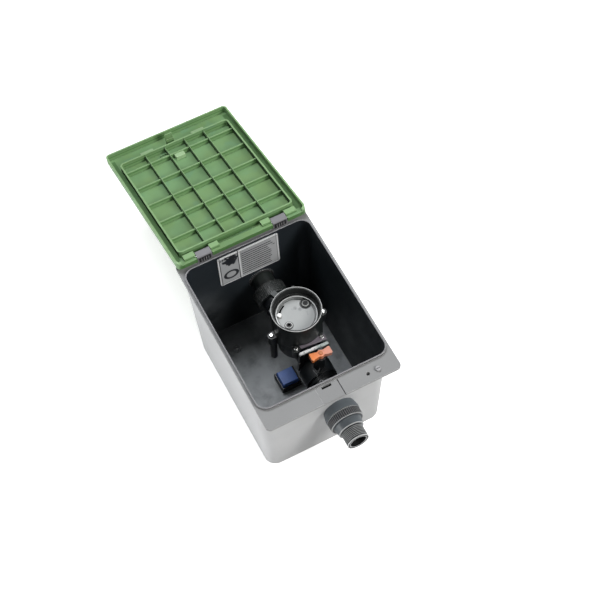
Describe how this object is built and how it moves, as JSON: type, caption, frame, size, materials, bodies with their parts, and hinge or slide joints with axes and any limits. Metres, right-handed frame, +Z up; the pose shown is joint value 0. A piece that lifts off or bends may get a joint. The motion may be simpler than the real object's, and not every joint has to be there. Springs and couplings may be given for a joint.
{
  "type": "irrigation valve box",
  "caption": "Buried plastic valve box with a folding ribbed lid, holding a diaphragm valve and a shut-off ball valve in one line between threaded pipe ends.",
  "frame": {"origin": "middle of the four fixing holes, on the underside of the tub", "axes": "+Z up, +Y from the outlet towards the lid's hinge, +X to the right seen from the outlet"},
  "size_m": [0.205, 0.5898, 0.2126],
  "materials": {
    "tub_plastic": "fine moulded texture",
    "lid_plastic": "satin moulded green",
    "steel": "bright",
    "label_plate": "satin",
    "valve_plastic": "satin black moulding",
    "bonnet_plastic": "satin black moulding",
    "pipe_plastic": "satin dark grey moulding",
    "disc_plastic": "satin light grey",
    "white_plastic": "gloss",
    "lever_plastic": "satin orange",
    "clip_plastic": "satin light grey",
    "black_plastic": "satin black",
    "cap_plastic": "satin blue",
    "rubber_black": "matt",
    "chrome_ball": "polished"
  },
  "bodies": {
    "box": {"box_body": "tub_plastic", "latch_plate": "tub_plastic", "back_label": "label_plate", "wall_seal_front": "rubber_black", "outlet_collar": "pipe_plastic", "collar_ring_nut": "black_plastic", "gland_seal": "rubber_black", "wall_seal_back": "rubber_black", "inlet_tail": "pipe_plastic", "inlet_gasket": "rubber_black", "valve_body": "valve_plastic", "diaphragm": "rubber_black", "diaphragm_spring": "steel", "bonnet": "bonnet_plastic", "bonnet_screws": "steel", "socket_disc": "disc_plastic", "pilot_port": "black_plastic", "plunger_spring": "steel", "contact_socket": "black_plastic", "ball_valve_body": "valve_plastic", "ball_seats": "white_plastic", "outlet_clip": "clip_plastic", "drain_frame": "black_plastic", "drain_filter": "black_plastic"},
    "lid": {"lid": "lid_plastic", "lid_hinge_pin_left": "steel", "lid_hinge_pin_right": "steel"},
    "lock_screw": {"lid_lock_screw": "white_plastic"},
    "inlet_nut": {"inlet_union_nut": "black_plastic"},
    "outlet_nut": {"outlet_union_nut": "pipe_plastic"},
    "outlet_sleeve": {"telescopic_sleeve": "pipe_plastic", "sleeve_o_rings": "rubber_black"},
    "shutoff": {"ball": "chrome_ball", "ball_stem": "black_plastic", "stem_o_ring": "rubber_black", "shutoff_lever": "lever_plastic", "lever_screw": "steel"},
    "manual_valve": {"manual_lever": "white_plastic"},
    "plunger": {"pilot_plunger": "black_plastic"},
    "valve_plate": {"diaphragm_plate": "white_plastic"},
    "drain_lid": {"drain_cap": "cap_plastic"}
  },
  "joints": [
    {"name": "lid_hinge", "type": "hinge", "parent": "box", "child": "lid", "pos_m": [0, 0.1335, 0.204], "axis": [1, 0, 0], "range_deg": [0, 197]},
    {"name": "shutoff_turn", "type": "hinge", "parent": "box", "child": "shutoff", "pos_m": [0.0185, -0.062, 0.097], "axis": [0.0872, 0, 0.9962], "range_deg": [0, 90]},
    {"name": "manual_turn", "type": "hinge", "parent": "box", "child": "manual_valve", "pos_m": [0.0185, 0, 0.1665], "axis": [0, 0, 1], "range_deg": [-40, 0]},
    {"name": "pilot_press", "type": "slide", "parent": "box", "child": "plunger", "axis": [0, 0, -1], "range_m": [0, 0.002], "stiffness_N_per_m": 300, "springref_m": -0.002, "deforming": ["plunger_spring"]},
    {"name": "diaphragm_lift", "type": "slide", "parent": "box", "child": "valve_plate", "axis": [0, 0, 1], "range_m": [0, 0.005], "stiffness_N_per_m": 400, "springref_m": -0.01, "deforming": ["diaphragm_spring", "diaphragm"]},
    {"name": "inlet_nut_turn", "type": "hinge", "parent": "box", "child": "inlet_nut", "pos_m": [0.0185, 0.085, 0.097], "axis": [0, 1, 0], "continuous": true},
    {"name": "outlet_nut_turn", "type": "hinge", "parent": "box", "child": "outlet_nut", "pos_m": [0.0185, -0.1436, 0.097], "axis": [0, 1, 0], "continuous": true},
    {"name": "outlet_extend", "type": "slide", "parent": "box", "child": "outlet_sleeve", "axis": [0, -1, 0], "range_m": [0, 0.015]},
    {"name": "lock_screw_turn", "type": "hinge", "parent": "box", "child": "lock_screw", "pos_m": [0.0714, -0.1389, 0.195], "axis": [0, 0, 1], "continuous": true},
    {"name": "drain_cap_lift", "type": "slide", "parent": "box", "child": "drain_lid", "axis": [0, 0, 1], "range_m": [0, 0.025]}
  ]
}
